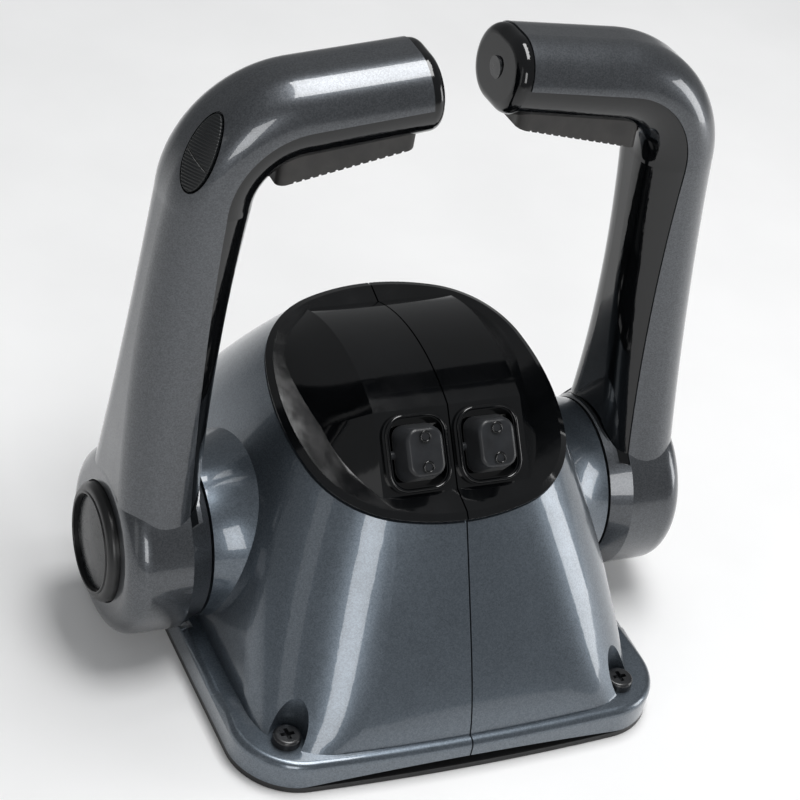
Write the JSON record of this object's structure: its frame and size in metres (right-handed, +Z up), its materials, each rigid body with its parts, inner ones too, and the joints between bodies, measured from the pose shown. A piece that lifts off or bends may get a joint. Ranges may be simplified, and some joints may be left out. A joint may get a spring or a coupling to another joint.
{
  "type": "boat throttle control lever",
  "caption": "Twin-lever binnacle boat throttle and shift control with geared cable links, lift triggers, hub buttons, two rubber rocker switches and a trim rocker.",
  "frame": {"origin": "on the deck plane, straight under the levers' hub axis, at the middle of the stud pattern", "axes": "+X to starboard across the levers, +Y ahead, away from the operator, +Z up"},
  "size_m": [0.206, 0.1772, 0.2299],
  "materials": {
    "base_rubber": "matt black rubber",
    "steel_screw": "zinc plated steel",
    "black_screw": "black coated steel",
    "grey_paint": "metallic grey lacquer on cast aluminium",
    "seal_rubber": "black rubber",
    "bush_plastic": "natural acetal",
    "black_gloss": "polished black plastic",
    "module_plastic": "black moulded plastic",
    "plate_metal": "as rolled",
    "shaft_steel": "turned stainless steel",
    "gear_steel": "cut steel",
    "link_metal": "pressed stainless steel",
    "button_rubber": "satin black rubber",
    "disc_plastic": "glossy dark grey plastic",
    "trigger_plastic": "ribbed black plastic",
    "switch_rubber": "soft satin rubber",
    "rocker_rubber": "textured dark rubber"
  },
  "bodies": {
    "base": {"base_gasket": "base_rubber", "tie_screws": "steel_screw", "mounting_screws": "black_screw", "left_housing": "grey_paint", "right_housing": "grey_paint", "left_boss_seal": "seal_rubber", "right_boss_seal": "seal_rubber", "left_shaft_bush": "bush_plastic", "right_shaft_bush": "bush_plastic", "left_top_cover": "black_gloss", "right_top_cover": "black_gloss", "left_switch_module": "module_plastic", "right_switch_module": "module_plastic", "left_mechanism_plate": "plate_metal", "right_mechanism_plate": "plate_metal", "left_plate_screws": "steel_screw", "right_plate_screws": "steel_screw", "left_detent": "bush_plastic", "right_detent": "bush_plastic", "left_neutral_switch": "module_plastic", "right_neutral_switch": "module_plastic"},
    "left_lever": {"left_lever_shell": "grey_paint", "left_inner_cover": "black_gloss", "left_lever_screws": "black_screw", "left_lever_shaft": "shaft_steel", "left_drive_gear": "gear_steel"},
    "left_hub_button": {"left_hub_button": "button_rubber", "left_button_disc": "disc_plastic"},
    "left_trigger": {"left_trigger": "trigger_plastic"},
    "left_switch_rocker": {"left_switch_rocker": "switch_rubber"},
    "left_throttle_drive": {"left_throttle_gear": "gear_steel", "left_throttle_link": "link_metal"},
    "left_shift_drive": {"left_shift_gear": "gear_steel", "left_shift_link": "link_metal"},
    "right_lever": {"right_lever_shell": "grey_paint", "right_inner_cover": "black_gloss", "right_lever_screws": "black_screw", "right_lever_shaft": "shaft_steel", "right_drive_gear": "gear_steel"},
    "right_hub_button": {"right_hub_button": "button_rubber", "right_button_disc": "disc_plastic"},
    "right_trigger": {"right_trigger": "trigger_plastic"},
    "right_switch_rocker": {"right_switch_rocker": "switch_rubber"},
    "right_throttle_drive": {"right_throttle_gear": "gear_steel", "right_throttle_link": "link_metal"},
    "right_shift_drive": {"right_shift_gear": "gear_steel", "right_shift_link": "link_metal"},
    "trim_rocker": {"trim_rocker": "rocker_rubber"}
  },
  "joints": [
    {"name": "left_lever_swing", "type": "hinge", "parent": "base", "child": "left_lever", "pos_m": [0, 0, 0.037], "axis": [-1, 0, 0], "range_deg": [-64, 64]},
    {"name": "left_hub_button_press", "type": "slide", "parent": "left_lever", "child": "left_hub_button", "axis": [1, 0, 0], "range_m": [0, 0.0025], "stiffness_N_per_m": 1500, "springref_m": -0.0005},
    {"name": "left_trigger_lift", "type": "slide", "parent": "left_lever", "child": "left_trigger", "axis": [0, 0.0454, 0.999], "range_m": [0, 0.002], "stiffness_N_per_m": 1500, "springref_m": -0.001},
    {"name": "left_switch_rock", "type": "hinge", "parent": "base", "child": "left_switch_rocker", "pos_m": [-0.01245, -0.0336, 0.08821], "axis": [1, 0, 0], "range_deg": [-5, 5], "stiffness_Nm_per_rad": 0.5},
    {"name": "left_throttle_gear_turn", "type": "hinge", "parent": "base", "child": "left_throttle_drive", "pos_m": [-0.0275, -0.02202, 0.05548], "axis": [-1, 0, 0], "range_deg": [-42, 42]},
    {"name": "left_shift_gear_turn", "type": "hinge", "parent": "base", "child": "left_shift_drive", "pos_m": [-0.0275, 0.02202, 0.05548], "axis": [-1, 0, 0], "range_deg": [-42, 42]},
    {"name": "right_lever_swing", "type": "hinge", "parent": "base", "child": "right_lever", "pos_m": [0, 0, 0.037], "axis": [-1, 0, 0], "range_deg": [-64, 64]},
    {"name": "right_hub_button_press", "type": "slide", "parent": "right_lever", "child": "right_hub_button", "axis": [-1, 0, 0], "range_m": [0, 0.0025], "stiffness_N_per_m": 1500, "springref_m": -0.0005},
    {"name": "right_trigger_lift", "type": "slide", "parent": "right_lever", "child": "right_trigger", "axis": [0, 0.0837, 0.9965], "range_m": [0, 0.002], "stiffness_N_per_m": 1500, "springref_m": -0.001},
    {"name": "right_switch_rock", "type": "hinge", "parent": "base", "child": "right_switch_rocker", "pos_m": [0.01245, -0.0336, 0.08821], "axis": [1, 0, 0], "range_deg": [-5, 5], "stiffness_Nm_per_rad": 0.5},
    {"name": "right_throttle_gear_turn", "type": "hinge", "parent": "base", "child": "right_throttle_drive", "pos_m": [0.0275, -0.02202, 0.05548], "axis": [-1, 0, 0], "range_deg": [-42, 42]},
    {"name": "right_shift_gear_turn", "type": "hinge", "parent": "base", "child": "right_shift_drive", "pos_m": [0.0275, 0.02202, 0.05548], "axis": [-1, 0, 0], "range_deg": [-42, 42]},
    {"name": "trim_rock", "type": "hinge", "parent": "left_lever", "child": "trim_rocker", "pos_m": [-0.08318, 0.00042, 0.18378], "axis": [-0.5446, 0.8378, -0.038], "range_deg": [-5, 5], "stiffness_Nm_per_rad": 0.5}
  ],
  "couplings": [
    {"joint": "left_throttle_gear_turn", "follows": "left_lever_swing", "ratio": -0.64286},
    {"joint": "left_shift_gear_turn", "follows": "left_lever_swing", "ratio": -0.64286},
    {"joint": "right_throttle_gear_turn", "follows": "right_lever_swing", "ratio": -0.64286},
    {"joint": "right_shift_gear_turn", "follows": "right_lever_swing", "ratio": -0.64286}
  ]
}
